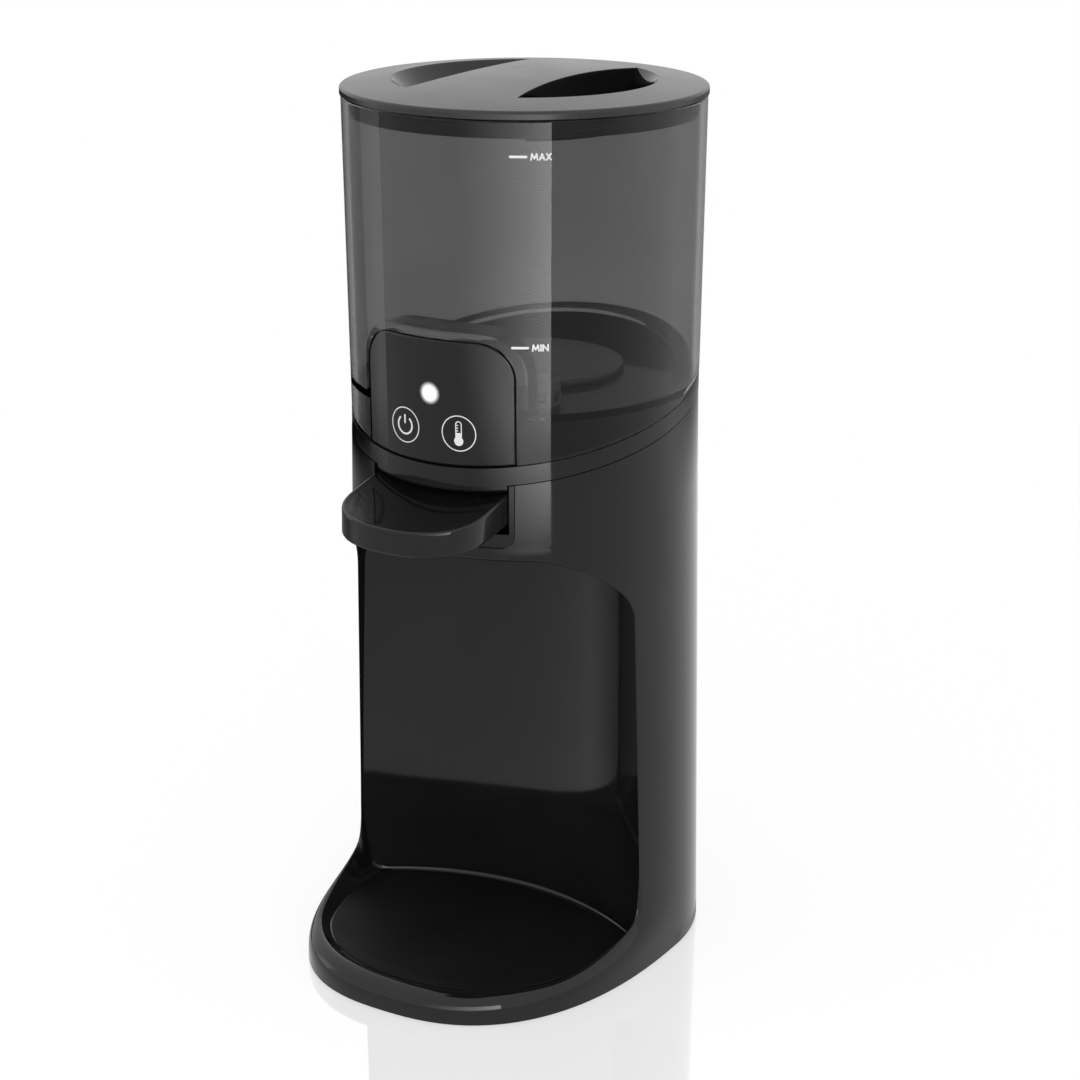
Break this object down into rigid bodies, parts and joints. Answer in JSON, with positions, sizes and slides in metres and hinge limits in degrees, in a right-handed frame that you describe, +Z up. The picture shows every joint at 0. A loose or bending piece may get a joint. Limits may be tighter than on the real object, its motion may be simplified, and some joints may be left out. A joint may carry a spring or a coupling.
{
  "type": "baby formula water dispenser",
  "caption": "Countertop warm-water dispenser for baby formula: smoked lift-off tank with lid on a black base with bottle niche, pouring lever, touch panel and heater.",
  "frame": {"origin": "centre of the bounding box's bottom face, on the table", "axes": "+Z up, -Y towards the user (pouring lever, panel and bottle niche), +X to the user's right"},
  "size_m": [0.1493, 0.1858, 0.3639],
  "materials": {
    "gloss_black": "gloss",
    "smoked_tank": "clear smoke gloss",
    "lid_grey": "satin",
    "black_plastic": "satin",
    "white_plastic": "satin",
    "silicone": "matte",
    "foot_rubber": "matte",
    "steel": "brushed",
    "aluminium": "satin",
    "circuit_board": "satin",
    "light_window": "clear",
    "light_chip": "matte"
  },
  "bodies": {
    "base": {"base_housing": "gloss_black", "niche_liner": "gloss_black", "bottom_plate": "black_plastic", "rubber_feet": "foot_rubber", "base_screws": "steel", "collar_ring": "gloss_black", "deck_frame": "black_plastic", "control_panel": "gloss_black", "touch_board": "circuit_board", "status_light": "light_chip", "light_guide": "light_window", "lever_bezel": "gloss_black", "lever_pin": "steel", "valve_body": "white_plastic", "nozzle": "silicone", "valve_diaphragm": "silicone", "valve_cap": "white_plastic", "valve_spring": "steel", "tank_socket": "white_plastic", "socket_gasket": "silicone", "feed_hose": "silicone", "heater_disc": "aluminium", "heater_element": "steel", "temperature_sensor": "steel", "main_board": "circuit_board", "power_inlet": "black_plastic"},
    "tank": {"tank": "smoked_tank", "heat_plate": "steel", "heat_plate_gasket": "silicone", "outlet_strainer": "white_plastic", "poppet_spring": "steel"},
    "poppet": {"tank_poppet": "white_plastic", "poppet_seal": "silicone"},
    "lid": {"lid": "lid_grey", "lid_seal": "silicone"},
    "lever": {"lever": "gloss_black"},
    "plunger": {"valve_plunger": "white_plastic", "plunger_seal": "silicone"}
  },
  "joints": [
    {"name": "tank_lift", "type": "slide", "parent": "base", "child": "tank", "axis": [0, 0, 1], "range_m": [0, 0.06]},
    {"name": "lid_lift", "type": "slide", "parent": "tank", "child": "lid", "axis": [0, 0, 1], "range_m": [0, 0.04]},
    {"name": "lever_press", "type": "hinge", "parent": "base", "child": "lever", "pos_m": [0, -0.0387, 0.2066], "axis": [1, 0, 0], "range_deg": [0, 8], "stiffness_Nm_per_rad": 0.4, "springref_deg": -11.46},
    {"name": "plunger_lift", "type": "slide", "parent": "base", "child": "plunger", "axis": [0, 0, 1], "range_m": [0, 0.0024], "deforming": ["valve_spring"]},
    {"name": "poppet_close", "type": "slide", "parent": "tank", "child": "poppet", "axis": [0, 0, -1], "range_m": [0, 0.0018], "deforming": ["poppet_spring"]}
  ],
  "couplings": [
    {"joint": "plunger_lift", "follows": "lever_press", "m_per_rad": 0.0165},
    {"joint": "poppet_close", "follows": "tank_lift", "ratio": 0.03}
  ]
}
